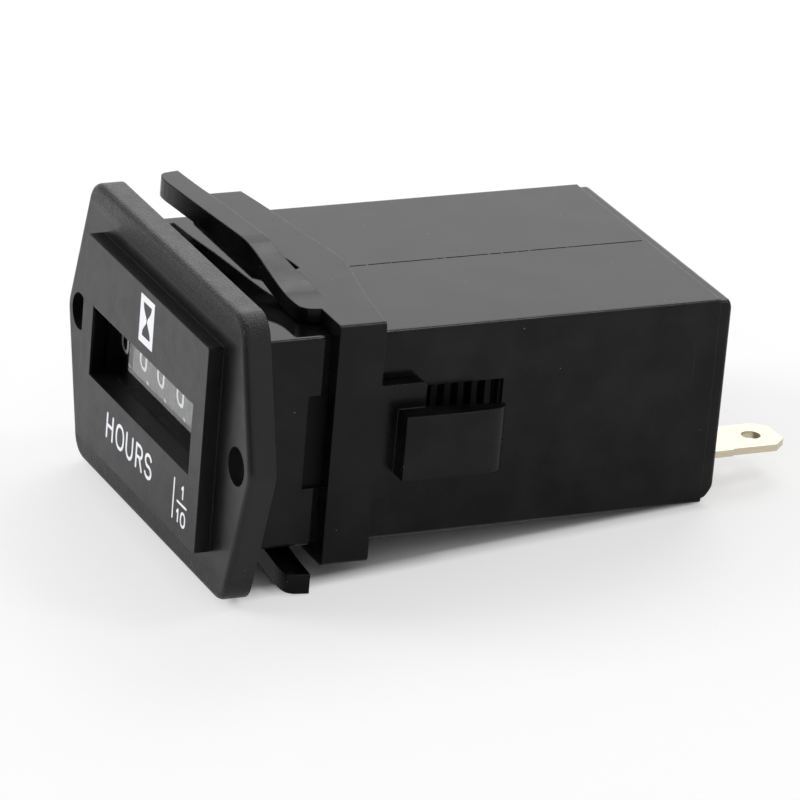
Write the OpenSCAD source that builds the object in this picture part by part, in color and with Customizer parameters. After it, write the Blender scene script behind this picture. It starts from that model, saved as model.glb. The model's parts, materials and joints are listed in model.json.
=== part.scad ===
// Panel hour meter: snap-in case, six-figure drum counter, motor train and clip.
// X runs right seen from the front, Y runs rearward, Z runs up, all in millimetres.
// The origin is the middle of the flange's rear face, where the panel seats.

/* [Case] */
// Width of the case behind the panel
case_w = 36.4; // [36.2:0.1:36.6]
// Height of the case
case_h = 24; // [23.8:0.1:24.2]
// Length of the case behind the flange
case_len = 54.85; // [54.6:0.05:56]
// Thickness of the case wall
case_wall = 1.5; // [1.3:0.1:1.5]
// Pitch of the ratchet grooves on both sides
rack_pitch = 1.6; // [1.5:0.05:1.6]
// Number of ratchet steps on each side; the front two have no groove
rack_count = 14; // [6:1:14]
// Depth of the ratchet grooves
rack_depth = 1.3; // [0.8:0.1:1.3]

/* [Bezel] */
// Thickness of the flange
flange_t = 3.05; // [2.8:0.05:3.3]
// Distance between the two panel screw holes
screw_spacing = 44.45; // [44:0.05:45]
// Diameter of the panel screw holes
screw_hole_d = 4.2; // [3.6:0.1:4.4]
// How far the raised panel stands out of the flange
panel_proud = 1.77; // [1.4:0.01:2]
// Width of the window
window_w = 28.4; // [27:0.1:29]
// Height of the window
window_h = 8.05; // [7:0.05:8.4]

/* [Counter] */
// Outer radius of the number wheels
wheel_r = 6.4; // [6.2:0.1:6.4]
// Gap between neighbouring wheels, where the transfer pinions run
wheel_gap = 1.2; // [1.2:0.01:1.3]
// Module of all gear teeth
gear_m = 0.5; // [0.5:0.01:0.5]

/* [Mounting clip] */
// Front face of the clip's ring
clip_y = 8.8; // [8.6:0.1:9.2]
// Length of the ring along the case
clip_len = 5.35; // [5:0.05:5.6]
// Clearance between the clip and the case
clip_gap = 0.15; // [0.1:0.01:0.2]
// Height of the spring leaf's tip above the middle
leaf_tip_z = 16.2; // [15.4:0.1:17]

/* [Terminals] */
// Width of each blade
blade_w = 6.35; // [6.2:0.05:6.4]
// Thickness of each blade
blade_t = 0.8; // [0.7:0.05:0.8]
// Blade tip behind the panel
blade_tip = 66.4; // [64:0.1:68]

/* [Hidden] */
$fn = 64;

black = "#1b1b1d";
white = "#e8e8e4";
steel = "#b9bcc0";
tinned = "#d9d4c4";
brass = "#c0a050";
nylon = "#e3e0d4";

eps = 0.02;
in_x = case_w / 2 - case_wall;
in_z = case_h / 2 - case_wall;
pad_t = 0.75;
pad_x = in_x - pad_t;
pad_y0 = 5.5;
pad_y1 = 30.5;
pad_z = 6.4;
rack_y0 = 6.6;
rack_z = 5.3;
rack_sink = 0.45;
rack_plain = 2;
rack_end = 0.3;
ledge_w = 2.2;

// Tongues of the bezel and the rear cover inside the case
tongue_x = in_x - 4.7;
tongue_t = 1.15;
tongue_gap = 0.05;

// Flange outline: circles at these centres, joined by their common tangents
flange_r = 3;
ear_x = screw_spacing / 2 + 0.575;
flange_c = [
  [ear_x, -0.1], [18.9, 13.1], [-18.9, 13.1], [-ear_x, -0.1], [-18.9, -13.5], [18.9, -13.5]
];
flange_edge_r = 0.7;
panel_w = 34.2;
panel_h = 23.5;
panel_z = -0.35;

// Window, and the lens with its flange behind it and its boss standing into it
window_x = -0.1;
window_z = -0.15;
window_flare = 2;
lip_y = 0.3 - flange_t - panel_proud;
lens_y = -1.9;
lens_t = 0.35;
lens_w = 33;
lens_h = 12.6;
lens_gap = 0.05;
boss_y = lens_y - 0.6;
function window_half(y) = window_w / 2 + window_flare * (y - lip_y) / (lens_y - lip_y);

// Counter axes in the plane across X, as [Y, Z]
wheel_axis = [5.7, 0];
shaft_r = 1;
pin_shaft_r = 0.6;
run = 0.05;
plate_t = 0.55;
plate_x1 = pad_x;
plate_x0 = plate_x1 - plate_t;
side_room = 0.55;
rim_half = (2 * (plate_x0 - side_room) - 5 * wheel_gap) / 12;
wheel_pitch = 2 * rim_half + wheel_gap;
wheel_x0 = 2.5 * wheel_pitch;
gear_x0 = wheel_x0 + rim_half;
gear_w = 0.5;
thin_w = 0.4;
bite = 0.1;
disc_r = 3.9;
tooth_tip = 4.4;
tooth_t = 0.6;
pin_clear = 0.12;
thru = plate_x1 + 4;
n_wheel = 20;
n_pin = 8;
n_drive = 22;
n_idler = 20;
n_big = 28;
slack = 0.05;
pin_dir = -30;
idler_dir = 22;
red_dir = -25;
motor_dir = 0;
function at(c, d, a) = [c[0] + d * cos(a), c[1] + d * sin(a)];
pin_axis = at(wheel_axis, gear_m * (n_wheel + n_pin) / 2 + slack, pin_dir);
idler_axis = at(wheel_axis, gear_m * (n_drive + n_idler) / 2 + slack, idler_dir);
red_axis = at(idler_axis, gear_m * (n_idler + n_pin) / 2 + slack, red_dir);
motor_axis = at(red_axis, gear_m * (n_big + n_pin) / 2 + slack, motor_dir);

// Tooth phase of a gear with nb teeth that meshes with a gear of na teeth at phase pa
function mesh(pa, na, nb, dir) = dir + 180 - (pa - dir) * na / nb - 180 / nb;
idler_phase = mesh(idler_dir, n_drive, n_idler, idler_dir);
red_phase = mesh(idler_phase, n_idler, n_pin, red_dir);
pin_phase = mesh(pin_dir, n_wheel, n_pin, pin_dir);
motor_phase = mesh(motor_dir, n_big, n_pin, motor_dir);

// Chassis plates and the train between them
chassis_len = 40;
chassis_low = -6.9;
chassis_top = 8.9;
back_t = 0.6;
post_len = 2.8;
bridge_t = 0.6;
bridge_x1 = plate_x0 - post_len;
bridge_x0 = bridge_x1 - bridge_t;
bridge_y0 = 13.2;
bridge_y1 = chassis_len - 1;
bridge_in = 0.7;
post_at = [[chassis_len - 3.5, 7], [chassis_len - 3.5, -5], [14.5, -4.6]];
post_r = 1.2;
screw_r = 0.6;
arbor_r = 0.5;
stud_r = 0.55;

// Motor can around the rotor, and the circuit board under it
can_r = 7;
can_wall = 0.6;
can_len = 9;
can_x0 = bridge_x0 - can_len;
board_z = -7.6;
board_t = 1.2;
board_x = in_x - 0.5;
board_y0 = 22;

// Blades
blade_inset = 3.6;
blade_x = in_x - blade_inset;
blade_hole_y = 63.2;
blade_hole_d = 2.2;
blade_in_y = 47;
step_y = 59.4;
tip_cut = 1.5;

// Clip outline
clip_t = 1.65;
clip_out_x = case_w / 2 + clip_gap + clip_t;
clip_out_z = case_h / 2 + clip_gap + clip_t;
leaf_root_x = clip_out_x - 5;
leaf_tip_x = -clip_out_x - 1.1;
leaf_rise_x = clip_out_x - 8.4;
leaf_flat_x = clip_out_x - 21;
leaf_t = 2.25;
// The leaf's points are drawn for this half width and front of the ring, and fitted to them
leaf_for = [20, 8.8];
function fitted(p) = [for (q = p) [q[0] * clip_out_x / leaf_for[0], q[1] - leaf_for[1] + clip_y]];
leaf_front = fitted([
  [14.9, 8.9], [14.5, 7.4], [13.6, 6.75], [12, 6.6], [8, 6.52], [2, 6.25], [-2, 5.97],
  [-10, 5.2], [-15, 4.74], [-18.6, 4.46], [-20.2, 4.72], [-20.8, 5.4]
]);
leaf_rear = fitted([
  [-21.1, 7.05], [-16, 7.46], [-12, 7.95], [-8, 8.3], [-4, 8.6], [0, 8.93], [3, 9],
  [4.5, 9.25], [6, 9.55], [8, 10.25], [11.6, 10.6]
]);
leaf_root = fitted([[15, 10.6]]);
slit_rear = fitted([[3.5, 11.2], [0.8, 10.95], [-1.2, 10.3], [-2.6, 9.4], [-3.6, 8.5]]);
slit_front = fitted([[-3.6, 7], [3.8, 7], [3.8, 10.6]]);
// Rear edge of the top wall, bowed backwards
bow_rear = fitted([
  [19.4, 14.15], [13.7, 14.9], [9.8, 15.6], [5.5, 16.5], [2, 17], [-2.3, 16.45], [-8.6, 15.6],
  [-13.7, 15], [-19.4, 14.15]
]);
bow_front = fitted([[-19.4, 12.5], [19.4, 12.5]]);

// Side arms and pawl tabs, with X from the outside of the ring and Y from its front
arm_end = 10.65;
arm_h = 13;
tab_z = 3.65;
tab_out = [
  [2.35, 7.5], [2.45, 10.2], [2.5, 13.2], [2.45, 16.2], [2.3, 18], [1.9, 19], [1.3, 19.5]
];
tab_in = [[0.8, 19.5], [0.4, 15.2], [-0.3, 10.65], [-0.5, 7.5]];
nose_z = 2.3;
nose_out = [[-0.4, 15.8], [0.6, 15.8], [1, 18.6]];
nose_y = [18.3, 18.1];

// Smooth curve through points, with n pieces from one point to the next
function spline_at(a, b, c, d, t) =
  0.5 * (2 * b + (c - a) * t + (2 * a - 5 * b + 4 * c - d) * t * t
  + (3 * b - a - 3 * c + d) * t * t * t);
function spline(p, n) = concat(
  [for (i = [0 : len(p) - 2], k = [0 : n - 1])
    spline_at(p[max(i - 1, 0)], p[i], p[i + 1], p[min(i + 2, len(p) - 1)], k / n)],
  [p[len(p) - 1]]);

// Rounded rectangle centred on the origin
module round_rect(w, h, r) {
  square([w - 2 * r, h], center = true);
  square([w, h - 2 * r], center = true);
  for (sx = [-1, 1], sy = [-1, 1]) {
    translate([sx * (w / 2 - r), sy * (h / 2 - r)]) circle(r);
  }
}

// Extrudes an outline drawn in X and Z from y0 to y1
module along_y(y0, y1) {
  translate([0, y1, 0]) rotate([90, 0, 0]) linear_extrude(y1 - y0) children();
}

// Extrudes an outline drawn in Y and Z from x0 to x1
module along_x(x0, x1) {
  translate([x0, 0, 0]) rotate([90, 0, 90]) linear_extrude(x1 - x0) children();
}

// Extrudes an outline drawn in X and Y from z0 to z1
module along_z(z0, z1) {
  translate([0, 0, z0]) linear_extrude(z1 - z0) children();
}

// Block from one corner to the other
module block(a, b) {
  translate(a) cube(b - a);
}

// Round bar along X on an axis given as [Y, Z]
module bar(c, r, x0, x1) {
  translate([x0, c[0], c[1]]) rotate([0, 90, 0]) cylinder(r = r, h = x1 - x0);
}

// Outline of a gear with straight-sided teeth thinned for free running
module gear_outline(n, phase) {
  rp = gear_m * n / 2;
  rr = rp - 1.2 * gear_m;
  rt = rp + 0.9 * gear_m;
  s = 180 / n;
  prof = [[rr, -0.62], [rp, -0.42], [rt, -0.16], [rt, 0.16], [rp, 0.42], [rr, 0.62]];
  polygon([for (i = [0 : n - 1], q = prof)
    let (a = phase + 2 * s * i + s * q[1]) [q[0] * cos(a), q[0] * sin(a)]]);
}

module gear(c, n, phase, x0, x1) {
  translate([0, c[0], c[1]]) along_x(x0, x1) gear_outline(n, phase);
}

// Bezel
module flange_outline(inset) {
  r = flange_r - inset;
  n = len(flange_c);
  pts = [for (i = [0 : n - 1], k = [0, 1])
    let (a = flange_c[(i + k - 1 + n) % n], b = flange_c[(i + k) % n], d = b - a,
      u = [d[1], -d[0]] / norm(d)) flange_c[i] + u * r];
  polygon(pts);
  for (c = flange_c) translate(c) circle(r);
}

module window_cut() {
  y0 = lip_y - 1.3;
  y1 = lens_y + eps;
  w = window_w / 2;
  along_z(window_z - window_h / 2, window_z + window_h / 2) translate([window_x, 0]) polygon([
    [-w, y0], [w, y0], [w, lip_y], [window_half(lens_y), y1], [-window_half(lens_y), y1], [-w, lip_y]]);
}

module bezel() {
  y0 = -flange_t;
  y1 = y0 + flange_edge_r;
  color(black) difference() {
    union() {
      hull() {
        along_y(y1, 0) flange_outline(0, $fn = 48);
        for (k = [1 : 4]) {
          a = 90 * k / 4;
          along_y(y1 - flange_edge_r * sin(a), y1) flange_outline(flange_edge_r * (1 - cos(a)), $fn = 48);
        }
      }
      translate([0, 0, panel_z]) along_y(y0 - panel_proud, y0 + 0.5) round_rect(panel_w, panel_h, 0.35);
      for (s = [-1, 1]) {
        block([-tongue_x, -eps, s > 0 ? in_z - tongue_gap - tongue_t : -in_z + tongue_gap],
          [tongue_x, 4, s > 0 ? in_z - tongue_gap : -in_z + tongue_gap + tongue_t]);
      }
    }
    window_cut();
    block([-lens_w / 2 - lens_gap, lens_y, -lens_h / 2 - lens_gap],
      [lens_w / 2 + lens_gap, 1, lens_h / 2 + lens_gap]);
    for (s = [-1, 1]) {
      translate([s * screw_spacing / 2, 1, 0]) rotate([90, 0, 0])
        cylinder(d = screw_hole_d, h = flange_t + 3);
    }
  }
}

module lens() {
  a = window_half(boss_y) - 2 * lens_gap;
  b = window_half(lens_y) - 2 * lens_gap;
  h = window_h / 2 - lens_gap;
  color("#c8d0d4") union() {
    block([-lens_w / 2, lens_y, -lens_h / 2], [lens_w / 2, lens_y + lens_t, lens_h / 2]);
    along_z(window_z - h, window_z + h) translate([window_x, 0]) polygon([
      [-a, boss_y], [a, boss_y], [b, lens_y], [b, lens_y + lens_t / 2],
      [-b, lens_y + lens_t / 2], [-b, lens_y]]);
  }
}

// Ratchet on the right side: saw-tooth grooves, steep at the rear, in the floor of a shallow pocket
module rack_cut() {
  x = case_w / 2;
  y1 = rack_y0 + rack_pitch * rack_count + rack_end;
  along_z(-rack_z, rack_z) polygon(concat(
    [[x + 1, rack_y0], [x - rack_sink, rack_y0]],
    [for (i = [rack_plain : rack_count - 1], p = [[rack_sink, 0.4], [rack_depth, 0.92], [rack_sink, 1]])
      [x - p[0], rack_y0 + rack_pitch * (i + p[1])]],
    [[x - rack_sink, y1], [x + 1, y1]]));
}

module case() {
  color(black) difference() {
    union() {
      difference() {
        along_y(0, case_len) round_rect(case_w, case_h, 0.5);
        along_y(-1, case_len + 1) round_rect(2 * in_x, 2 * in_z, 0.3);
      }
      for (s = [-1, 1]) {
        block([s > 0 ? pad_x : -in_x - 0.2, pad_y0, -pad_z],
          [s > 0 ? in_x + 0.2 : -pad_x, pad_y1, pad_z]);
        block([s > 0 ? in_x - ledge_w : -in_x - 0.2, board_y0, -in_z - 0.2],
          [s > 0 ? in_x + 0.2 : ledge_w - in_x, case_len - 0.2, board_z - board_t]);
      }
    }
    rack_cut();
    mirror([1, 0, 0]) rack_cut();
  }
}

cover_t = 1.05;
cover_edge_r = 0.5;
cover_cut = 1.9;
cover_step = [0.2, 0.5];
slot_gap = [0.2, 0.05];

module rear_cover() {
  w = case_w - cover_step[0];
  h = case_h - cover_step[1];
  y0 = case_len;
  color(black) difference() {
    union() {
      along_y(y0, y0 + cover_t) round_rect(w, h, 0.8);
      hull() {
        for (k = [0 : 3]) {
          a = 30 * k;
          in = 2 * cover_edge_r * (1 - cos(a));
          y = y0 + cover_t - 0.05 + cover_edge_r * sin(a);
          along_y(y, y + 0.02) round_rect(w - in, h - in, 0.8, $fn = 32);
        }
      }
      block([-tongue_x, y0 - 2.5, in_z - tongue_gap - tongue_t],
        [tongue_x, y0 + 0.1, in_z - tongue_gap]);
    }
    along_x(-w, w) polygon([
      [y0 + 0.2, -h / 2], [y0 + cover_t + 0.47, cover_cut - h / 2],
      [y0 + 2 * cover_t + 1, cover_cut - h / 2], [y0 + 2 * cover_t + 1, -h], [y0 + 0.2, -h]]);
    for (s = [-1, 1]) {
      block([s * blade_x - blade_w / 2 - slot_gap[0], y0 - 1, board_z - slot_gap[1]],
        [s * blade_x + blade_w / 2 + slot_gap[0], y0 + cover_t + 1, board_z + blade_t + slot_gap[1]]);
    }
  }
}

// Spring leaf on the top of the clip, rooted at the right and free at the left
function leaf_ease(t) = t * t * (3 - 2 * t);
function leaf_rise(x) = leaf_ease(min(1, max(0, (leaf_rise_x - x) / (leaf_rise_x - leaf_flat_x))));
function leaf_top(x) = clip_out_z + (leaf_tip_z - clip_out_z) * leaf_rise(x);
function leaf_under(x) =
  case_h / 2 + clip_gap + (leaf_tip_z - leaf_t - case_h / 2 - clip_gap) * leaf_rise(x);

module leaf() {
  xs = [for (i = [0 : 36]) leaf_root_x + (leaf_tip_x - leaf_root_x) * i / 36];
  intersection() {
    along_z(case_h / 2, leaf_tip_z + 1)
      polygon(concat(spline(leaf_front, 3), spline(leaf_rear, 3), leaf_root));
    along_y(clip_y - 8.8, clip_y + 11.2) polygon(concat(
      [for (x = xs) [x, leaf_top(x)]], [for (i = [36 : -1 : 0]) [xs[i], leaf_under(xs[i])]]));
  }
}

module clip_slit() {
  along_z(case_h / 2 - 1, clip_out_z + 1)
    polygon(concat(spline(slit_rear, 3), slit_front));
}

// Bowed rear part of the clip's top wall
module clip_bow() {
  along_z(case_h / 2 + clip_gap, clip_out_z) polygon(concat(spline(bow_rear, 3), bow_front));
}

// Side arm with its pawl tab, on the right
module clip_arm() {
  xi = case_w / 2 + clip_gap;
  y1 = clip_y + clip_len;
  y2 = clip_y + arm_end;
  along_x(xi, clip_out_x) translate([(y1 + y2) / 2 - 0.5, 0]) round_rect(y2 - y1 + 1, arm_h, 0.5);
  translate([clip_out_x, clip_y, 0]) {
    along_z(-tab_z, tab_z) polygon(concat(spline(tab_out, 3), tab_in));
    along_z(-nose_z, nose_z) polygon(concat([for (y = nose_y) [-clip_t, y]], nose_out));
  }
}

module mounting_clip() {
  y1 = clip_y + clip_len;
  color(black) union() {
    difference() {
      along_y(clip_y, y1) round_rect(2 * clip_out_x, 2 * clip_out_z, 0.6);
      along_y(clip_y - 1, y1 + 1) round_rect(case_w + 2 * clip_gap, case_h + 2 * clip_gap, 0.4);
      for (a = [0, 180]) rotate([0, a, 0]) clip_slit();
    }
    for (a = [0, 180]) {
      rotate([0, a, 0]) {
        leaf();
        clip_bow();
        clip_arm();
      }
    }
  }
}

module blade(s) {
  w = blade_w / 2;
  color(tinned) along_z(board_z, board_z + blade_t) translate([s * blade_x, 0]) difference() {
    polygon([
      [-w - 0.1, blade_in_y], [w + 0.1, blade_in_y], [w + 0.1, step_y], [w - 0.1, step_y + 0.1],
      [w - 0.1, blade_tip - tip_cut], [w - tip_cut, blade_tip], [tip_cut - w, blade_tip],
      [0.1 - w, blade_tip - tip_cut], [0.1 - w, step_y + 0.1], [-w - 0.1, step_y]]);
    translate([0, blade_hole_y]) circle(d = blade_hole_d);
  }
}

module terminal_right() {
  blade(1);
}

module terminal_left() {
  blade(-1);
}

// Steel frame folded to a U that carries the wheels and the train
module chassis_plate(x0, x1) {
  along_x(x0, x1) polygon([
    [lens_y + lens_t, -5], [0.4, -6.3], [1, chassis_low], [chassis_len, chassis_low],
    [chassis_len, chassis_top], [1, chassis_top], [0.4, 6.3], [lens_y + lens_t, 5]]);
}

module counter_chassis() {
  color(steel) difference() {
    union() {
      chassis_plate(plate_x0, plate_x1);
      chassis_plate(-plate_x1, -plate_x0);
      block([-plate_x1, chassis_len - back_t, chassis_low], [plate_x1, chassis_len, chassis_top]);
      for (p = post_at) bar(p, post_r, bridge_x1, plate_x0 + 0.2);
    }
    for (p = post_at) bar(p, screw_r, bridge_x1 - 1, bridge_x1 + 2);
    bar(wheel_axis, shaft_r, -thru, thru);
    bar(pin_axis, pin_shaft_r, -thru, thru);
    bar(idler_axis, stud_r, bridge_x0, thru);
    bar(red_axis, arbor_r + run, bridge_x0, thru);
    bar(motor_axis, arbor_r + run, bridge_x0, thru);
  }
}

module wheel_shaft() {
  color(steel) bar(wheel_axis, shaft_r, -plate_x1, plate_x1);
}

module pinion_shaft() {
  color(steel) bar(pin_axis, pin_shaft_r, -plate_x1, plate_x1);
}

// Number wheel k counted from the right: rim, gear on its right, transfer disc on its left
module wheel(k) {
  x = wheel_x0 - wheel_pitch * k;
  xr = x + rim_half;
  xl = x - rim_half;
  color(black) difference() {
    union() {
      bar(wheel_axis, wheel_r, xl, xr);
      if (k == 0) gear(wheel_axis, n_drive, idler_dir, xr - bite, xr + thin_w);
      if (k > 0) gear(wheel_axis, n_wheel, pin_dir, xr - bite, xr + gear_w);
      if (k < 5) {
        bar(wheel_axis, disc_r, xl - thin_w, xl + bite);
        for (a = [-9, 9]) {
          translate([0, wheel_axis[0], wheel_axis[1]]) rotate([pin_dir + a + 180, 0, 0])
            block([xl - thin_w, disc_r - 0.9, -tooth_t / 2], [xl + bite, tooth_tip, tooth_t / 2]);
        }
      }
    }
    bar(wheel_axis, shaft_r + run, -thru, thru);
  }
}

module wheel_tenths() {
  wheel(0);
}

module wheel_units() {
  wheel(1);
}

module wheel_tens() {
  wheel(2);
}

module wheel_hundreds() {
  wheel(3);
}

module wheel_thousands() {
  wheel(4);
}

module wheel_ten_thousands() {
  wheel(5);
}

// Transfer pinion k in the gap on the left of wheel k - 1
module transfer_pinion(k) {
  x = wheel_x0 - wheel_pitch * (k - 1) - rim_half;
  color(nylon) difference() {
    gear(pin_axis, n_pin, pin_phase, x - wheel_gap + pin_clear, x - pin_clear);
    bar(pin_axis, pin_shaft_r + run, -thru, thru);
  }
}

module transfer_pinion_1() {
  transfer_pinion(1);
}

module transfer_pinion_2() {
  transfer_pinion(2);
}

module transfer_pinion_3() {
  transfer_pinion(3);
}

module transfer_pinion_4() {
  transfer_pinion(4);
}

module transfer_pinion_5() {
  transfer_pinion(5);
}

module idler_stud() {
  color(steel) union() {
    bar(idler_axis, stud_r, gear_x0 - 0.4, plate_x1);
    bar(idler_axis, 1, gear_x0 - 0.6, gear_x0 - 0.15);
  }
}

module idler_gear() {
  color(nylon) difference() {
    gear(idler_axis, n_idler, idler_phase, gear_x0, gear_x0 + thin_w);
    bar(idler_axis, stud_r + run, bridge_x0, thru);
  }
}

// The large gear runs close behind the bridge
big_x0 = bridge_x1 + 0.8;
hub_r = 1.2;

module reduction_gear() {
  color(nylon) union() {
    bar(red_axis, arbor_r, bridge_x0, plate_x1);
    gear(red_axis, n_big, motor_dir, big_x0, big_x0 + gear_w);
    bar(red_axis, hub_r, big_x0 + gear_w - bite, gear_x0 - bite);
    gear(red_axis, n_pin, red_phase, gear_x0 - 2 * bite, gear_x0 + thin_w + run);
  }
}

magnet_r = 3;

module motor_rotor() {
  color("#4a4a4e") union() {
    bar(motor_axis, arbor_r, can_x0, plate_x1);
    bar(motor_axis, magnet_r, can_x0 + 1.6, bridge_x0 - 1);
    gear(motor_axis, n_pin, motor_phase, big_x0 - 0.2, big_x0 + gear_w + 0.2);
  }
}

module gear_bridge() {
  color(steel) difference() {
    block([bridge_x0, bridge_y0, chassis_low + bridge_in],
      [bridge_x1, bridge_y1, chassis_top - bridge_in]);
    for (p = post_at) bar(p, screw_r + run, bridge_x0 - 1, bridge_x1 + 1);
    bar(red_axis, arbor_r + run, bridge_x0 - 1, bridge_x1 + 1);
    bar(motor_axis, arbor_r + run, bridge_x0 - 1, bridge_x1 + 1);
  }
}

module bridge_screw(i) {
  color(brass) difference() {
    union() {
      bar(post_at[i], post_r - run, bridge_x0 - 0.6, bridge_x0);
      bar(post_at[i], screw_r, bridge_x0 - bite, bridge_x1 + 1.8);
    }
    block([bridge_x0 - 1, post_at[i][0] - 0.15, post_at[i][1] - 2],
      [bridge_x0 - 0.35, post_at[i][0] + 0.15, post_at[i][1] + 2]);
  }
}

module bridge_screw_1() {
  bridge_screw(0);
}

module bridge_screw_2() {
  bridge_screw(1);
}

module bridge_screw_3() {
  bridge_screw(2);
}

// Foot of the bobbin that carries the coil pins
foot_w = 1.5;
flank_r = can_r - can_wall - run;
tube_r = 3.9;
flank_t = 0.6;
flank_x1 = bridge_x0 - 0.1;

module motor_can() {
  y = motor_axis[0];
  color(steel) difference() {
    bar(motor_axis, can_r, can_x0, bridge_x0);
    bar(motor_axis, can_r - can_wall, can_x0 + can_wall, bridge_x0 + 1);
    bar(motor_axis, arbor_r + run, can_x0 - 1, bridge_x0);
    block([can_x0 + can_wall, y - foot_w - 0.1, -can_r - 1], [can_x0 + 2, y + foot_w + 0.1, -4]);
  }
}

module coil_bobbin() {
  y = motor_axis[0];
  x0 = can_x0 + can_wall;
  color(nylon) difference() {
    union() {
      bar(motor_axis, tube_r, x0, flank_x1);
      bar(motor_axis, flank_r, x0, x0 + flank_t);
      bar(motor_axis, flank_r, flank_x1 - flank_t, flank_x1);
      block([x0, y - foot_w, chassis_low], [x0 + 2 * flank_t, y + foot_w, chassis_low + 2]);
    }
    bar(motor_axis, magnet_r + 0.35, can_x0 - 1, bridge_x1);
  }
}

module coil_winding() {
  color("#b5703a") difference() {
    bar(motor_axis, flank_r - 0.5, can_x0 + can_wall + flank_t, flank_x1 - flank_t);
    bar(motor_axis, tube_r, can_x0 - 1, bridge_x1);
  }
}

coil_pin_r = 0.3;

module coil_pin(s) {
  y = motor_axis[0] + s * (foot_w - 2 * coil_pin_r);
  color(brass) translate([can_x0 + can_wall + flank_t, y, board_z])
    cylinder(r = coil_pin_r, h = chassis_low - board_z);
}

module coil_pin_1() {
  coil_pin(-1);
}

module coil_pin_2() {
  coil_pin(1);
}

// Electronics behind the frame
chip = [8, 5, 1.6];
chip_x = -6;
chip_y = chassis_len + 2.5;
crystal_r = 1;
crystal_len = 6;
crystal_y = chassis_len + 4.5;
crystal_x = in_x - 8.7;
cap_r = 3.15;
cap_h = 8;
cap_at = [5.5, chassis_len + 4.6];
diode_size = [4.5, 2.6, 2.2];
diode_x = -6;
diode_y = chassis_len + 10;
res_size = [3.2, 1.6, 0.6];
res_x = 2;
res_y = chassis_len + 10.4;

module circuit_board() {
  color("#2f6b3c") block([-board_x, board_y0, board_z - board_t],
    [board_x, case_len - tongue_gap, board_z]);
}

module driver_chip() {
  color("#222222") translate([chip_x, chip_y, board_z]) cube(chip);
}

module quartz_crystal() {
  color(steel) bar([crystal_y, board_z + crystal_r], crystal_r, -crystal_x - crystal_len, -crystal_x);
}

module capacitor() {
  color("#30405c") translate([cap_at[0], cap_at[1], board_z]) cylinder(r = cap_r, h = cap_h);
}

module diode() {
  color("#262626") translate([diode_x, diode_y, board_z]) cube(diode_size);
}

module resistor() {
  color("#3a3a3a") translate([res_x, res_y, board_z]) cube(res_size);
}

bezel();
lens();
case();
rear_cover();
mounting_clip();
terminal_right();
terminal_left();
counter_chassis();
wheel_shaft();
wheel_tenths();
wheel_units();
wheel_tens();
wheel_hundreds();
wheel_thousands();
wheel_ten_thousands();
pinion_shaft();
transfer_pinion_1();
transfer_pinion_2();
transfer_pinion_3();
transfer_pinion_4();
transfer_pinion_5();
idler_stud();
idler_gear();
reduction_gear();
motor_rotor();
gear_bridge();
bridge_screw_1();
bridge_screw_2();
bridge_screw_3();
motor_can();
coil_bobbin();
coil_winding();
coil_pin_1();
coil_pin_2();
circuit_board();
driver_chip();
quartz_crystal();
capacitor();
diode();
resistor();
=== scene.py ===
"""Looks of the panel hour meter: materials, printed marks, wheel figures, light and camera."""
import json
import math
import random

import bpy
import bmesh
from mathutils import Matrix, Vector


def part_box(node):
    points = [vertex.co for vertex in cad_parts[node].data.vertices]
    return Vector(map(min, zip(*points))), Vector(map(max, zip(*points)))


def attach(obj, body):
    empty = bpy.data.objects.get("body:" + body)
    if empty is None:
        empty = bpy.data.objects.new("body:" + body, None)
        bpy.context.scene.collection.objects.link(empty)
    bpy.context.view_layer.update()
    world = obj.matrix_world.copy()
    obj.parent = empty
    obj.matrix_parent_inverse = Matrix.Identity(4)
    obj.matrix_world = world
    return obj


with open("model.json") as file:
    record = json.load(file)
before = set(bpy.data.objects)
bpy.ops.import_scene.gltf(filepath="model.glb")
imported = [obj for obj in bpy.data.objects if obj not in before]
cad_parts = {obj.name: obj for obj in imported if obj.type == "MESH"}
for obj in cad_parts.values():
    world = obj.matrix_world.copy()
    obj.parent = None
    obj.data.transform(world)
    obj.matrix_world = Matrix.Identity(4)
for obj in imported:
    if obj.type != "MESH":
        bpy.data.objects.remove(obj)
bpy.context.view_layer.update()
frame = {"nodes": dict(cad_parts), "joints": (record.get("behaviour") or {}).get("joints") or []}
nodes = frame["nodes"]
MM = 0.001
PER_MM = (1 / MM, 1 / MM, 1 / MM)

# Shader helpers


def shader(name):
    """A new material, its node tree and its main shader."""
    mat = bpy.data.materials.new(name)
    mat.use_nodes = True
    nt = mat.node_tree
    nt.nodes.clear()
    out = nt.nodes.new("ShaderNodeOutputMaterial")
    main = nt.nodes.new("ShaderNodeBsdfPrincipled")
    nt.links.new(main.outputs[0], out.inputs["Surface"])
    return mat, nt, main


def add(nt, kind, inputs=None, **settings):
    """Adds a node, with its settings and its inputs as values or as sockets to link."""
    n = nt.nodes.new("ShaderNode" + kind)
    for key, value in settings.items():
        setattr(n, key, value)
    for key, value in (inputs or {}).items():
        if isinstance(value, bpy.types.NodeSocket):
            nt.links.new(value, n.inputs[key])
        else:
            n.inputs[key].default_value = value
    return n


def in_mm(nt):
    """Place on the part in millimetres."""
    place = add(nt, "TexCoord").outputs["Object"]
    return add(nt, "Mapping", {"Vector": place, "Scale": PER_MM}).outputs[0]


def noise(nt, where, scale, detail=2.0, rough=0.5):
    """Value of a cloudy noise with about scale features to the unit."""
    inputs = {"Vector": where, "Scale": scale, "Detail": detail, "Roughness": rough}
    return add(nt, "TexNoise", inputs).outputs[0]


def ranged(nt, value, a, b, to_a, to_b):
    """The value carried from the range a to b into the range to_a to to_b, and held at its ends."""
    return add(nt, "MapRange", {0: value, 1: a, 2: b, 3: to_a, 4: to_b}).outputs[0]


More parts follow.
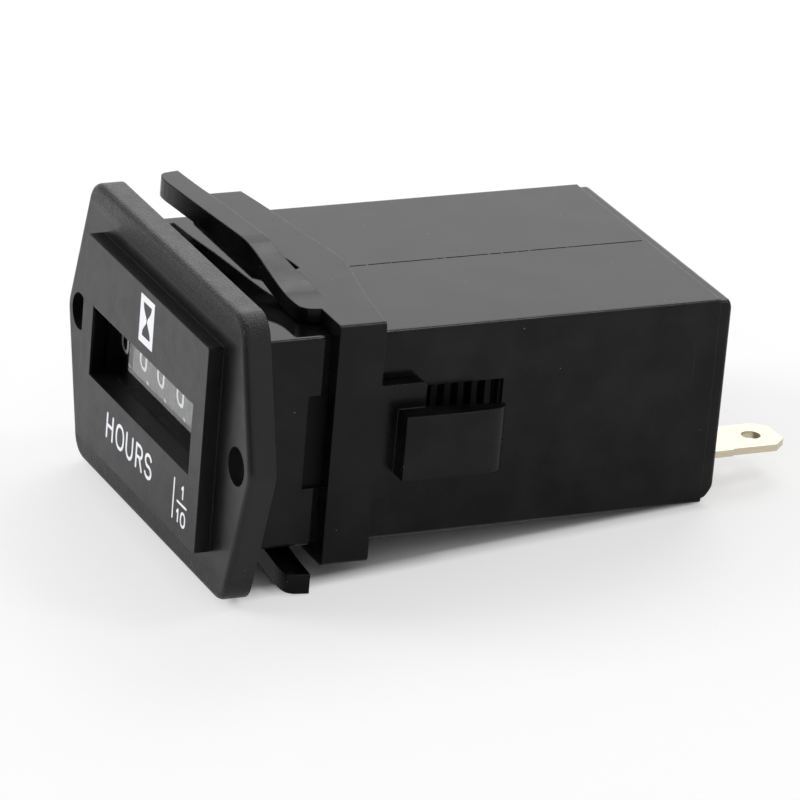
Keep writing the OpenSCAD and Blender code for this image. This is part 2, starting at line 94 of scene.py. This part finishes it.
def math_node(nt, operation, a, b=0.0):
    """Result of one sum on two numbers or sockets."""
    return add(nt, "Math", {0: a, 1: b}, operation=operation).outputs[0]


def mixed(nt, fac, a, b):
    """Colour a turned towards colour b by the factor."""
    n = add(nt, "Mix", {0: fac}, data_type="RGBA")
    for slot, value in ((6, a), (7, b)):
        if isinstance(value, bpy.types.NodeSocket):
            nt.links.new(value, n.inputs[slot])
        else:
            n.inputs[slot].default_value = (*value, 1)
    return n.outputs[2]


def grey(v):
    """A grey that is very slightly blue."""
    return (v, v, v * 1.04)


def bumped(nt, main, height, depth, strength=1.0, edge=0.0):
    """Bump on the shader's normal, over edges rounded by edge millimetres."""
    inputs = {"Height": height, "Distance": depth * MM, "Strength": strength}
    if edge:
        inputs["Normal"] = add(nt, "Bevel", {"Radius": edge * MM}, samples=6).outputs[0]
    nt.links.new(add(nt, "Bump", inputs).outputs[0], main.inputs["Normal"])


# Materials


def plastic(name, shade, rough, grain, depth, ior, edge=0.18, specks=0.5, spread=0.2, marks=None):
    """Black moulded plastic: grain, uneven gloss, faint mottle and a few pale specks of dust."""
    mat, nt, main = shader(name)
    where = in_mm(nt)
    mottle = noise(nt, where, 0.16, 3.0)
    fine = noise(nt, where, grain, 2.0, 0.6)
    pale, deep = grey(shade * (1 + spread)), grey(shade * (1 - spread))
    colour = mixed(nt, ranged(nt, mottle, 0.35, 0.65, 0, 1), deep, pale)
    dots = add(nt, "TexVoronoi", {"Vector": where, "Scale": 0.55}).outputs["Distance"]
    few = ranged(nt, noise(nt, where, 0.9, 0.0), 0.6, 0.64, 0, specks)
    dust = math_node(nt, "MULTIPLY", ranged(nt, dots, 0.03, 0.05, 1, 0), few)
    colour = mixed(nt, dust, colour, (0.3, 0.3, 0.29))
    gloss = ranged(nt, noise(nt, where, 0.45, 4.0, 0.6), 0.3, 0.7, rough - 0.05, rough + 0.05)
    height = math_node(nt, "ADD", fine, math_node(nt, "MULTIPLY", mottle, 0.5))
    if marks:
        colour, height, gloss = marks(nt, where, colour, height, gloss)
    nt.links.new(colour, main.inputs["Base Color"])
    nt.links.new(gloss, main.inputs["Roughness"])
    main.inputs["IOR"].default_value = ior
    bumped(nt, main, height, depth, edge=edge)
    return mat


# The rim of the flange begins between these heights
RIM_Z = (13.2, 14.2)
RIM_GRAIN = 4.4
RIM_RISE = 7.5


def bezel_marks(nt, where, colour, height, gloss):
    """Coarser mould grain round the rim of the flange."""
    axes = add(nt, "SeparateXYZ", {0: where}).outputs
    rim = ranged(nt, math_node(nt, "ABSOLUTE", axes[2]), *RIM_Z, 0, 1)
    coarse = math_node(nt, "MULTIPLY", noise(nt, where, RIM_GRAIN, 2.0, 0.7), RIM_RISE)
    height = math_node(nt, "ADD", height, math_node(nt, "MULTIPLY", rim, coarse))
    return colour, height, gloss


# The polished neck of the case ends under the clip's ring
NECK_END = 12.0
NECK_FADE = 2.0
CASE_SIDE = 18.0


def case_marks(nt, where, colour, height, gloss):
    """Faint slanting scuffs on the sides, and a polished neck ahead of the clip."""
    axes = add(nt, "SeparateXYZ", {0: where}).outputs
    slant = {"Vector": where, "Rotation": (0.5, 0, 0), "Scale": (0.2, 2.4, 0.12)}
    slanted = add(nt, "Mapping", slant).outputs[0]
    scuff = ranged(nt, noise(nt, slanted, 1.0, 4.0, 0.7), 0.68, 0.76, 0, 1)
    sides = ranged(nt, math_node(nt, "ABSOLUTE", axes[0]), CASE_SIDE, CASE_SIDE + 0.1, 0, 0.35)
    scuff = math_node(nt, "MULTIPLY", scuff, sides)
    colour = mixed(nt, scuff, colour, (0.045, 0.044, 0.043))
    polish = ranged(nt, axes[1], NECK_END, NECK_END + NECK_FADE, 0.2, 1)
    return colour, height, math_node(nt, "MULTIPLY", gloss, polish)


def metal(name, colour, rough, grain=(6, 6, 0.4), streak=0.12, depth=0.002, edge=0.08):
    """Sheet or wire with drawn streaks, uneven gloss and dulled patches."""
    mat, nt, main = shader(name)
    where = in_mm(nt)
    drawn = add(nt, "Mapping", {"Vector": where, "Scale": grain}).outputs[0]
    lines = noise(nt, drawn, 1.0, 3.0, 0.6)
    dull = noise(nt, where, 0.5, 4.0, 0.6)
    darker = tuple(c * (1 - 2 * streak) for c in colour)
    patches = ranged(nt, dull, 0.3, 0.7, 0.4, 1)
    shade = math_node(nt, "MULTIPLY", ranged(nt, lines, 0.3, 0.7, 0, 1), patches)
    nt.links.new(mixed(nt, shade, darker, colour), main.inputs["Base Color"])
    nt.links.new(ranged(nt, dull, 0.3, 0.7, rough - 0.06, rough + 0.08), main.inputs["Roughness"])
    main.inputs["Metallic"].default_value = 1.0
    bumped(nt, main, lines, depth, edge=edge)
    return mat


def soft_plastic(name, light, dark, rough, grain=3.0, depth=0.004):
    """Natural or dyed plastic and lacquer, slightly cloudy, with a moulded grain."""
    mat, nt, main = shader(name)
    where = in_mm(nt)
    cloud = noise(nt, where, 0.35, 4.0, 0.6)
    fine = noise(nt, where, grain, 2.0)
    nt.links.new(mixed(nt, ranged(nt, cloud, 0.3, 0.7, 0, 1), dark, light), main.inputs["Base Color"])
    nt.links.new(ranged(nt, fine, 0.3, 0.7, rough - 0.05, rough + 0.07), main.inputs["Roughness"])
    bumped(nt, main, fine, depth, edge=0.06)
    return mat


def ink(name, shade):
    """Screen-printed white, a little uneven, with worn pinholes."""
    mat, nt, main = shader(name)
    where = in_mm(nt)
    body = noise(nt, where, 2.2, 3.0)
    pin = ranged(nt, noise(nt, where, 7.0, 1.0), 0.72, 0.76, 0, 0.35)
    colour = mixed(nt, ranged(nt, body, 0.3, 0.7, 0, 1), grey(shade * 0.93), grey(shade))
    nt.links.new(mixed(nt, pin, colour, (0.35, 0.35, 0.35)), main.inputs["Base Color"])
    nt.links.new(ranged(nt, body, 0.3, 0.7, 0.45, 0.6), main.inputs["Roughness"])
    bumped(nt, main, body, 0.002)
    return mat


def clear(name):
    """Clear window plastic with faint wipe marks. Lamp light passes straight through."""
    mat, nt, main = shader(name)
    where = in_mm(nt)
    wipe = {"Vector": where, "Rotation": (0, 0.5, 0), "Scale": (0.15, 1, 1.4)}
    wiped = add(nt, "Mapping", wipe).outputs[0]
    haze = noise(nt, wiped, 1.0, 4.0, 0.6)
    main.inputs["Base Color"].default_value = (0.97, 0.98, 0.98, 1)
    main.inputs["IOR"].default_value = 1.65
    main.inputs["Transmission Weight"].default_value = 1.0
    nt.links.new(ranged(nt, haze, 0.35, 0.75, 0.0, 0.05), main.inputs["Roughness"])
    through = add(nt, "BsdfTransparent", {"Color": (0.94, 0.95, 0.95, 1)})
    lamp_ray = add(nt, "LightPath").outputs["Is Shadow Ray"]
    both = add(nt, "MixShader", {0: lamp_ray, 1: main.outputs[0], 2: through.outputs[0]})
    nt.links.new(both.outputs[0], nt.nodes["Material Output"].inputs["Surface"])
    return mat


def board(name):
    """Green solder mask with lighter tracks under it and a fine weave."""
    mat, nt, main = shader(name)
    where = in_mm(nt)
    tracks = add(nt, "TexBrick", {
        "Vector": where, "Scale": 0.28, "Mortar Size": 0.06, "Brick Width": 0.9, "Row Height": 0.4,
        "Color1": (0.02, 0.1, 0.035, 1), "Color2": (0.025, 0.115, 0.04, 1), "Mortar": (0.05, 0.2, 0.07, 1),
    })
    weave = noise(nt, where, 9.0, 1.0)
    colour = mixed(nt, ranged(nt, weave, 0.3, 0.7, 0, 0.3), tracks.outputs["Color"], (0.012, 0.06, 0.02))
    nt.links.new(colour, main.inputs["Base Color"])
    nt.links.new(ranged(nt, weave, 0.3, 0.7, 0.25, 0.4), main.inputs["Roughness"])
    bumped(nt, main, tracks.outputs["Fac"], 0.02)
    return mat


def winding(name):
    """Fine enamelled wire, turn beside turn."""
    mat, nt, main = shader(name)
    where = in_mm(nt)
    turns = add(nt, "TexWave", {"Vector": where, "Scale": 2.4, "Distortion": 0.25}, bands_direction="X")
    layer = noise(nt, where, 0.8, 3.0)
    colour = mixed(nt, turns.outputs["Fac"], (0.16, 0.045, 0.015), (0.62, 0.24, 0.09))
    colour = mixed(nt, ranged(nt, layer, 0.4, 0.7, 0, 0.4), colour, (0.4, 0.16, 0.06))
    nt.links.new(colour, main.inputs["Base Color"])
    nt.links.new(ranged(nt, layer, 0.3, 0.7, 0.25, 0.45), main.inputs["Roughness"])
    main.inputs["Metallic"].default_value = 0.8
    bumped(nt, main, turns.outputs["Fac"], 0.06)
    return mat


BEZEL = plastic(
    "bezel_plastic", shade=0.005, rough=0.32, grain=4.2, depth=0.02, ior=1.37,
    edge=0.12, specks=0.3, marks=bezel_marks)
CASE = plastic(
    "case_plastic", shade=0.006, rough=0.15, grain=5.5, depth=0.0024, ior=1.258,
    specks=0.55, spread=0.6, marks=case_marks)
CLIP = plastic(
    "clip_plastic", shade=0.004, rough=0.24, grain=5.0, depth=0.004, ior=1.258,
    edge=0.22, specks=0.4, spread=0.7)
# The wheels' own black plastic, also used as painted shade on the lens edges, ratchet groove floors and
# screw hole walls
WHEEL_AND_SHADE = plastic(
    "wheel_and_shade_plastic", shade=0.006, rough=0.55, grain=6.0, depth=0.003, ior=1.2, edge=0.05, specks=0.1)
TIN = metal("tinned_blade", colour=(0.69, 0.62, 0.47), rough=0.3, grain=(5, 0.3, 5), streak=0.06)
DARK = metal("oxide_steel", colour=(0.05, 0.05, 0.053), rough=0.45)
STEEL = metal("plated_steel", colour=(0.62, 0.63, 0.65), rough=0.3)
BRASS = metal("turned_brass", colour=(0.78, 0.6, 0.28), rough=0.28, grain=(0.4, 6, 6))
NYLON = soft_plastic("natural_nylon", light=(0.72, 0.7, 0.62), dark=(0.62, 0.6, 0.51), rough=0.45)
MAGNET = soft_plastic(
    "sintered_magnet", light=(0.06, 0.06, 0.065), dark=(0.035, 0.035, 0.038),
    rough=0.5, grain=8.0, depth=0.01)
PACKAGE = soft_plastic(
    "chip_package", light=(0.03, 0.03, 0.032), dark=(0.018, 0.018, 0.02),
    rough=0.55, grain=9.0, depth=0.01)
SLEEVE = soft_plastic("capacitor_sleeve", light=(0.03, 0.05, 0.12), dark=(0.02, 0.035, 0.09), rough=0.3)
WHITE = ink("white_ink", shade=0.92)
SEAM = plastic("seam_line", shade=0.004, rough=0.8, grain=5.0, depth=0.004, ior=1.02, edge=0.0)

# Material of each node by its whole name, or else by the first word found in it, or else steel
BY_NODE = {
    "bezel": BEZEL,
    "lens": clear("window_plastic"),
    "case": CASE,
    "rear_cover": CASE,
    "mounting_clip": CLIP,
    "terminal_right": TIN,
    "terminal_left": TIN,
    "motor_rotor": MAGNET,
    "coil_winding": winding("coil_wire"),
    "circuit_board": board("circuit_board"),
    "driver_chip": PACKAGE,
    "diode": PACKAGE,
    "resistor": PACKAGE,
    "capacitor": SLEEVE,
    "counter_chassis": DARK,
}
BY_WORD = (
    ("wheel_shaft", STEEL),
    ("pinion_shaft", STEEL),
    ("wheel", WHEEL_AND_SHADE),
    ("pinion", NYLON),
    ("gear_bridge", STEEL),
    ("gear", NYLON),
    ("bobbin", NYLON),
    ("screw", BRASS),
    ("pin_", BRASS),
)
for name, thing in nodes.items():
    finish = BY_NODE.get(name) or next((m for word, m in BY_WORD if word in name), STEEL)
    thing.data.materials.clear()
    thing.data.materials.append(finish)

# The lens is clear on its front and back. Its edges get the black wheel plastic, a painted shade that keeps
# the window's corners dark.
LENS = nodes["lens"].data
LENS.materials.append(WHEEL_AND_SHADE)
for face in LENS.polygons:
    face.material_index = 0 if abs(face.normal.y) > 0.7 else 1

# Painted shade: the floors of the ratchet grooves get the duller black wheel plastic, so that the pocket is
# darker.
RACK_DEPTH = 0.45
SHELL = nodes["case"].data
SHELL.materials.append(WHEEL_AND_SHADE)
RACK_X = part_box("case")[1].x - RACK_DEPTH * MM
for face in SHELL.polygons:
    off = abs(abs(face.center.x) - RACK_X)
    face.material_index = 1 if abs(face.normal.x) > 0.99 and off < 0.05 * MM else 0

# Painted shade: the walls of the screw holes get the duller black wheel plastic, so that the holes are
# darker.
SCREW_X = 22.225
SCREW_R = 2.1
FLANGE = nodes["bezel"].data
FLANGE.materials.append(WHEEL_AND_SHADE)
for face in FLANGE.polygons:
    reach = math.hypot(abs(face.center.x) - SCREW_X * MM, face.center.z)
    in_hole = reach < (SCREW_R + 0.02) * MM and abs(face.normal.y) < 0.5
    face.material_index = 1 if in_hole else 0

# Stroke lettering: each figure is drawn in a cell one unit wide and one unit high


def arc(cx, cz, rx, rz, a, b, power=2.0):
    """Points of an ellipse from angle a to b, squarer as the power rises."""
    n = max(8, int(abs(b - a) / 9))
    pts = []
    for i in range(n + 1):
        t = math.radians(a + (b - a) * i / n)
        c = math.copysign(abs(math.cos(t)) ** (2 / power), math.cos(t))
        s = math.copysign(abs(math.sin(t)) ** (2 / power), math.sin(t))
        pts.append((cx + rx * c, cz + rz * s))
    return pts


ZERO = [arc(0, 0, 0.5, 0.5, 0, 360, 2.3)]
SIX = [arc(0, -0.2, 0.48, 0.3, 0, 360), [(-0.48, -0.2)] + arc(0.22, -0.1, 0.7, 0.6, 170, 95)]
STROKES = {
    "0": ZERO,
    "1": [[(0.1, -0.5), (0.1, 0.5)], [(0.1, 0.5), (-0.25, 0.27)]],
    "2": [arc(0, 0.2, 0.46, 0.3, 165, -35) + [(-0.46, -0.5)], [(-0.46, -0.5), (0.48, -0.5)]],
    "3": [arc(0, 0.25, 0.42, 0.25, 150, -90), arc(0, -0.25, 0.48, 0.25, 90, -150)],
    "4": [[(0.22, -0.5), (0.22, 0.5)], [(0.22, 0.5), (-0.5, -0.2)], [(-0.5, -0.2), (0.5, -0.2)]],
    "5": [[(0.42, 0.5), (-0.36, 0.5)], [(-0.36, 0.5), (-0.42, 0.03)], arc(0, -0.18, 0.47, 0.32, 138, -150)],
    "6": SIX,
    "7": [[(-0.48, 0.5), (0.48, 0.5)], [(0.48, 0.5), (-0.14, -0.5)]],
    "8": [arc(0, 0.26, 0.41, 0.24, 0, 360), arc(0, -0.24, 0.48, 0.26, 0, 360)],
    "9": [[(-x, -z) for x, z in stroke] for stroke in SIX],
    "H": [[(-0.5, -0.5), (-0.5, 0.5)], [(0.5, -0.5), (0.5, 0.5)], [(-0.5, 0.03), (0.5, 0.03)]],
    "O": ZERO,
    "U": [[(-0.5, 0.5)] + arc(0, -0.1, 0.5, 0.4, 180, 360) + [(0.5, 0.5)]],
    "R": [
        [(-0.5, -0.5), (-0.5, 0.5)],
        [(-0.5, 0.5)] + arc(0.1, 0.245, 0.4, 0.255, 90, -90) + [(-0.5, -0.01)],
        [(0.05, -0.01), (0.5, -0.5)],
    ],
    "S": [arc(0, 0.245, 0.46, 0.255, 25, 250) + arc(0, -0.245, 0.5, 0.255, 70, -155)],
}


def ribbon(pts, width):
    """Flat band of that width along the points, with round ends, as corners and faces."""
    line = [Vector(p) for p in pts]
    closed = (line[0] - line[-1]).length < 1e-6
    if closed:
        line.pop()
    n = len(line)
    corners, faces = [], []
    for i, p in enumerate(line):
        a = line[i - 1] if i or closed else p
        b = line[(i + 1) % n] if i < n - 1 or closed else p
        ahead = (b - a).normalized()
        side = Vector((-ahead.y, ahead.x)) * width / 2
        corners += [p + side, p - side]
    for i in range(n if closed else n - 1):
        j = (i + 1) % n
        faces.append((2 * i, 2 * i + 1, 2 * j + 1, 2 * j))
    if not closed:
        for i, way in ((0, 1), (n - 1, -1)):
            arm = corners[2 * i] - line[i]
            rim = []
            for k in range(1, 6):
                rim.append(len(corners))
                corners.append(line[i] + Matrix.Rotation(way * math.pi * k / 6, 2) @ arm)
            faces.append((2 * i, *rim, 2 * i + 1))
    return corners, faces


def glyph(mark, centre, size, width):
    """Ribbons of one figure, placed and sized in millimetres."""
    for stroke in STROKES[mark]:
        pts = [(centre[0] + x * size[0], centre[1] + z * size[1]) for x, z in stroke]
        yield ribbon(pts, width)


# Bands that cross lie this far apart, so that they don't share a plane
LAYER = 0.0015


def marks_piece(name, bands, place, outward, material, body):
    """One mesh from flat bands, each corner put on the part by place and faced outward."""
    bm = bmesh.new()
    for i, (corners, faces) in enumerate(bands):
        made = [bm.verts.new(place(c, LAYER * (i % 3))) for c in corners]
        for face in faces:
            bm.faces.new([made[k] for k in face])
    bm.normal_update()
    for face in bm.faces:
        if face.normal.dot(outward(face.calc_center_median())) < 0:
            face.normal_flip()
    mesh = bpy.data.meshes.new(name)
    bm.to_mesh(mesh)
    bm.free()
    mesh.materials.append(material)
    piece = bpy.data.objects.new(name, mesh)
    bpy.context.scene.collection.objects.link(piece)
    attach(piece, body)
    return piece


# Printed marks on the front panel
INK = 0.004
PANEL_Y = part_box("bezel")[0].y - INK * MM
STROKE = 0.41


def on_panel(p, lift):
    """Place on the front panel of a point across and up, in millimetres."""
    return Vector((p[0] * MM, PANEL_Y - lift * MM, p[1] * MM))


def box_band(x0, x1, z0, z1):
    """Flat box as corners and faces."""
    return [(x0, z0), (x1, z0), (x1, z1), (x0, z1)], [(0, 1, 2, 3)]


# Word: each letter with its middle and its width
WORD_Z = -7.7
WORD_H = 2.6
WORD = (("H", -7.52, 1.62), ("O", -4.6, 2.02), ("U", -1.86, 1.7), ("R", 0.92, 1.6), ("S", 3.5, 1.72))
bands = []
for mark, x, w in WORD:
    bands += glyph(mark, (x, WORD_Z), (w, WORD_H), STROKE)

# Fraction: an upright rule, the bar, and each figure with its middle and its size
THIN = 0.32
RULE = {"x": 10.72, "top": -5.98, "bottom": -10.42}
BAR = {"x0": 11.8, "x1": 14.25, "z": -8.15, "width": 0.3}
FRACTION = (
    ("1", (13.05, -6.72), (0.9, 1.3)),
    ("1", (12.1, -9.68), (0.9, 1.3)),
    ("0", (13.54, -9.7), (1.12, 1.5)),
)
bands.append(ribbon([(RULE["x"], RULE["top"]), (RULE["x"], RULE["bottom"])], THIN))
bands.append(ribbon([(BAR["x0"], BAR["z"]), (BAR["x1"], BAR["z"])], BAR["width"]))
for mark, centre, size in FRACTION:
    bands += glyph(mark, centre, size, THIN)

# Hourglass sign: a white plate with the glass left bare, by its height and half width up to the waist
SIGN = {"x0": -1.45, "x1": 2.38, "z0": 5.1, "z1": 10.52, "mid": 0.5, "waist": 7.86}
GLASS = ((5.95, 1.1), (6.3, 1.08), (6.7, 0.92), (7.1, 0.6), (7.45, 0.26), (7.72, 0.1))
profile = list(GLASS)
profile += [(2 * SIGN["waist"] - z, w) for z, w in reversed(GLASS)]
top, bottom = profile[-1][0], profile[0][0]
bands.append(box_band(SIGN["x0"], SIGN["x1"], SIGN["z0"], bottom))
bands.append(box_band(SIGN["x0"], SIGN["x1"], top, SIGN["z1"]))
for side, edge in ((-1, SIGN["x0"]), (1, SIGN["x1"])):
    corners = []
    for z, w in profile:
        corners += [(edge, z), (SIGN["mid"] + side * w, z)]
    faces = [(2 * i, 2 * i + 1, 2 * i + 3, 2 * i + 2) for i in range(len(profile) - 1)]
    bands.append((corners, faces))
marks_piece("panel_print", bands, on_panel, lambda c: Vector((0, -1, 0)), WHITE, "body")

# Broken parting line along the middle of the case's top
LINE = {"y0": 18.4, "y1": 54.4, "width": 0.19}
LINE |= {"dash": (0.7, 3.2), "gap": (0.12, 0.4), "stray": (-0.02, 0.02)}
TOP_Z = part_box("case")[1].z + INK * MM


def on_top(p, lift):
    """Place on the case's top of a point across and back, in millimetres."""
    return Vector((p[0] * MM, p[1] * MM, TOP_Z + lift * MM))


draw = random.Random(5)
bands = []
y = LINE["y0"]
while y < LINE["y1"]:
    end = min(y + draw.uniform(*LINE["dash"]), LINE["y1"])
    dash = [(draw.uniform(*LINE["stray"]), y), (draw.uniform(*LINE["stray"]), end)]
    bands.append(ribbon(dash, LINE["width"]))
    y = end + draw.uniform(*LINE["gap"])
marks_piece("parting_line", bands, on_top, lambda c: Vector((0, 0, 1)), SEAM, "body")

# Figures on the number wheels, ten to a turn, with zero at the front
WHEELS = ("tenths", "units", "tens", "hundreds", "thousands", "ten_thousands")
FIGURE = (1.62, 2.42)
FIGURE_STROKE = 0.45
SIDE_PLAY = (0.35, 0.25, 0.35, 0.0, 0.2, 0.1)
for name, play in zip(WHEELS, SIDE_PLAY):
    low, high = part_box("wheel_" + name)
    radius = (high.z - low.z) / 2 + INK * MM
    joint = next(j for j in frame["joints"] if j["child"] == name + "_wheel")
    middle = Vector(joint["pos_m"])

    def on_wheel(p, lift, middle=middle, radius=radius):
        """Place on the wheel's rim of a point across and up its front."""
        turn = p[1] * MM / radius
        out = radius + lift * MM
        y, z = middle.y - out * math.cos(turn), middle.z + out * math.sin(turn)
        return Vector((middle.x + p[0] * MM, y, z))

    def from_axis(c, middle=middle):
        """Way out from the wheel's axis at a place."""
        return Vector((0, c.y - middle.y, c.z - middle.z))

    step = math.radians(36) * radius / MM
    bands = []
    for figure in range(10):
        for corners, faces in glyph(str(figure), (play, 0), FIGURE, FIGURE_STROKE):
            bands.append(([(x, z - figure * step) for x, z in corners], faces))
    marks_piece("figures_" + name, bands, on_wheel, from_axis, WHITE, name + "_wheel")

# Floor in the plane that the clip's lower leaf and the case's rear edge rest on
FLOOR_UP = Vector((0, -0.0909, 0.9959)).normalized()
FLOOR_HALF = 1.6
lowest = min(FLOOR_UP.dot(v.co) for thing in nodes.values() for v in thing.data.vertices)
bm = bmesh.new()
bmesh.ops.create_grid(bm, x_segments=12, y_segments=12, size=FLOOR_HALF)
mesh = bpy.data.meshes.new("floor")
bm.to_mesh(mesh)
bm.free()
floor = bpy.data.objects.new("floor", mesh)
floor.rotation_mode = "QUATERNION"
floor.rotation_quaternion = FLOOR_UP.to_track_quat("Z", "Y")
floor.location = FLOOR_UP * lowest
bpy.context.scene.collection.objects.link(floor)
mat, nt, main = shader("floor_paper")
paper = noise(nt, in_mm(nt), 0.4, 4.0)
nt.links.new(mixed(nt, paper, (0.9, 0.9, 0.9), (0.93, 0.93, 0.93)), main.inputs["Base Color"])
main.inputs["Roughness"].default_value = 0.9
main.inputs["Specular IOR Level"].default_value = 0.1
path = add(nt, "LightPath").outputs
seen = math_node(nt, "MAXIMUM", path["Is Camera Ray"], path["Is Transmission Ray"])

# The floor glows like the white background, and less in mirror view. Painted shade: the glow is taken out
# in a fixed box under the part, so the floor there is darker and its real shadow shows.
GLOW = 0.55
MIRROR_GLOW = 0.2
UNDER_X = (17, 20)
UNDER_Y = (26, 28.5)
UNDER_MID_Y = 27
place = add(nt, "NewGeometry").outputs["Position"]
spot = add(nt, "Mapping", {"Vector": place, "Scale": PER_MM})
axes = add(nt, "SeparateXYZ", {0: spot.outputs[0]}).outputs
aside = ranged(nt, math_node(nt, "ABSOLUTE", axes[0]), *UNDER_X, 0, 1)
along = math_node(nt, "ABSOLUTE", math_node(nt, "SUBTRACT", axes[1], UNDER_MID_Y))
outside_painted_shade = math_node(nt, "MAXIMUM", aside, ranged(nt, along, *UNDER_Y, 0, 1))
share = math_node(nt, "MULTIPLY", seen, ranged(nt, outside_painted_shade, 0, 1, 0, GLOW))
mirrored = math_node(nt, "MULTIPLY", path["Is Glossy Ray"], MIRROR_GLOW)
share = math_node(nt, "MAXIMUM", share, mirrored)
glow = add(nt, "Emission", {"Color": (1, 1, 1, 1), "Strength": 1.0})
both = add(nt, "MixShader", {0: share, 1: main.outputs[0], 2: glow.outputs[0]})
nt.links.new(both.outputs[0], nt.nodes["Material Output"].inputs["Surface"])
floor.data.materials.append(mat)

# World: white where it is seen, softer as light, and dimmer in mirror view on the viewer's side
world = bpy.data.worlds.new("studio")
world.use_nodes = True
bpy.context.scene.world = world
nt = world.node_tree
nt.nodes.clear()
path = add(nt, "LightPath").outputs
seen = math_node(nt, "MAXIMUM", path["Is Camera Ray"], path["Is Glossy Ray"])
seen = math_node(nt, "MAXIMUM", seen, path["Is Transmission Ray"])
soft = add(nt, "Background", {"Color": (1, 1, 1, 1), "Strength": 0.6})
heading = add(nt, "TexCoord").outputs["Generated"]
rearward = add(nt, "SeparateXYZ", {0: heading}).outputs[1]
level = math_node(nt, "MAXIMUM", ranged(nt, rearward, -0.4, 0.1, 0.3, 1.0), path["Is Camera Ray"])
white = add(nt, "Background", {"Color": (1, 1, 1, 1), "Strength": level})
both = add(nt, "MixShader", {0: seen, 1: soft.outputs[0], 2: white.outputs[0]})
out = nt.nodes.new("ShaderNodeOutputWorld")
nt.links.new(both.outputs[0], out.inputs["Surface"])


def lamp(name, place, aim, size, power):
    """Square soft lamp at a place, turned to its aim."""
    data = bpy.data.lights.new(name, "AREA")
    data.size = size
    data.energy = power
    thing = bpy.data.objects.new(name, data)
    thing.location = place
    thing.rotation_mode = "QUATERNION"
    thing.rotation_quaternion = (Vector(place) - Vector(aim)).to_track_quat("Z", "Y")
    bpy.context.scene.collection.objects.link(thing)


MIDDLE = (0, 0.025, 0)
lamp("key", (-0.45, -0.85, 0.5), MIDDLE, 0.5, 4.5)
lamp("over", (-0.56, 0.46, 0.85), MIDDLE, 0.5, 3)
lamp("rear", (-0.75, 0.395, 0.345), MIDDLE, 1.0, 2.2)
lamp("edge", (0.25, 0.435, 0.87), MIDDLE, 0.12, 1.0)

# Camera, fitted to the photograph: its place, its three directions and its focal length
CAMERA_AT = (0.547685, -0.244176, 0.246074)
CAMERA_RIGHT = (0.41145, 0.90787, 0.08047)
CAMERA_UP = (-0.37741, 0.08934, 0.92173)
CAMERA_BACK = (0.8296, -0.4096, 0.3794)
data = bpy.data.cameras.new("camera")
data.sensor_width = 36
data.lens = 270.98
data.clip_start = 0.01
camera = bpy.data.objects.new("camera", data)
turn = Matrix((CAMERA_RIGHT, CAMERA_UP, CAMERA_BACK)).transposed()
camera.matrix_world = Matrix.Translation(CAMERA_AT) @ turn.to_4x4()
bpy.context.scene.collection.objects.link(camera)
bpy.context.scene.camera = camera
bpy.context.scene.view_settings.view_transform = "Standard"
